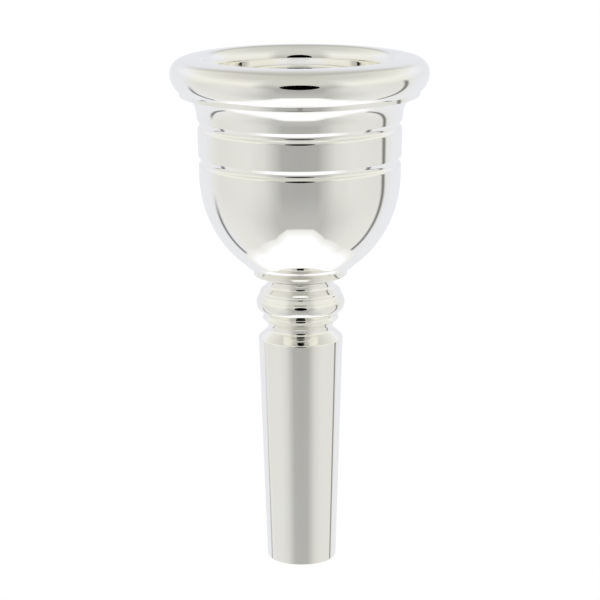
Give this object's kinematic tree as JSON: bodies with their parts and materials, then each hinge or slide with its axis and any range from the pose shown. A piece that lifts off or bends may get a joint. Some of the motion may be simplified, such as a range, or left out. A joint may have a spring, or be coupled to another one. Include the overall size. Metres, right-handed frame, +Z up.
{
  "type": "tuba mouthpiece",
  "caption": "Silver-plated tuba mouthpiece: screw-on rim, deep bowl cup with two turned grooves, beaded neck and tapered shank.",
  "frame": {"origin": "centre of the shank's small end, which it stands on", "axes": "+Z up the bore axis from the shank to the rim; it is round, so X and Y are free"},
  "size_m": [0.0482, 0.0482, 0.0984],
  "materials": {
    "silver_plate": "mirror-polished silver plate on brass",
    "nitrile_rubber": "black nitrile rubber"
  },
  "bodies": {
    "shank": {"shank": "silver_plate"},
    "shank_seal": {"shank_seal": "nitrile_rubber"},
    "cup": {"cup": "silver_plate"},
    "rim_seal": {"rim_seal": "nitrile_rubber"},
    "rim": {"rim": "silver_plate"}
  },
  "joints": [
    {"name": "cup_turn", "type": "hinge", "parent": "shank", "child": "shank_seal", "pos_m": [0, 0, 0.05795], "axis": [0, 0, 1], "range_deg": [0, 1440]},
    {"name": "cup_lift", "type": "slide", "parent": "shank_seal", "child": "cup", "axis": [0, 0, 1], "range_m": [0, 0.0051]},
    {"name": "rim_turn", "type": "hinge", "parent": "cup", "child": "rim_seal", "pos_m": [0, 0, 0.09205], "axis": [0, 0, 1], "range_deg": [0, 900]},
    {"name": "rim_lift", "type": "slide", "parent": "rim_seal", "child": "rim", "axis": [0, 0, 1], "range_m": [0, 0.0032]}
  ],
  "couplings": [
    {"joint": "cup_lift", "follows": "cup_turn", "m_per_rad": 0.00020213},
    {"joint": "rim_lift", "follows": "rim_turn", "m_per_rad": 0.00020213}
  ]
}
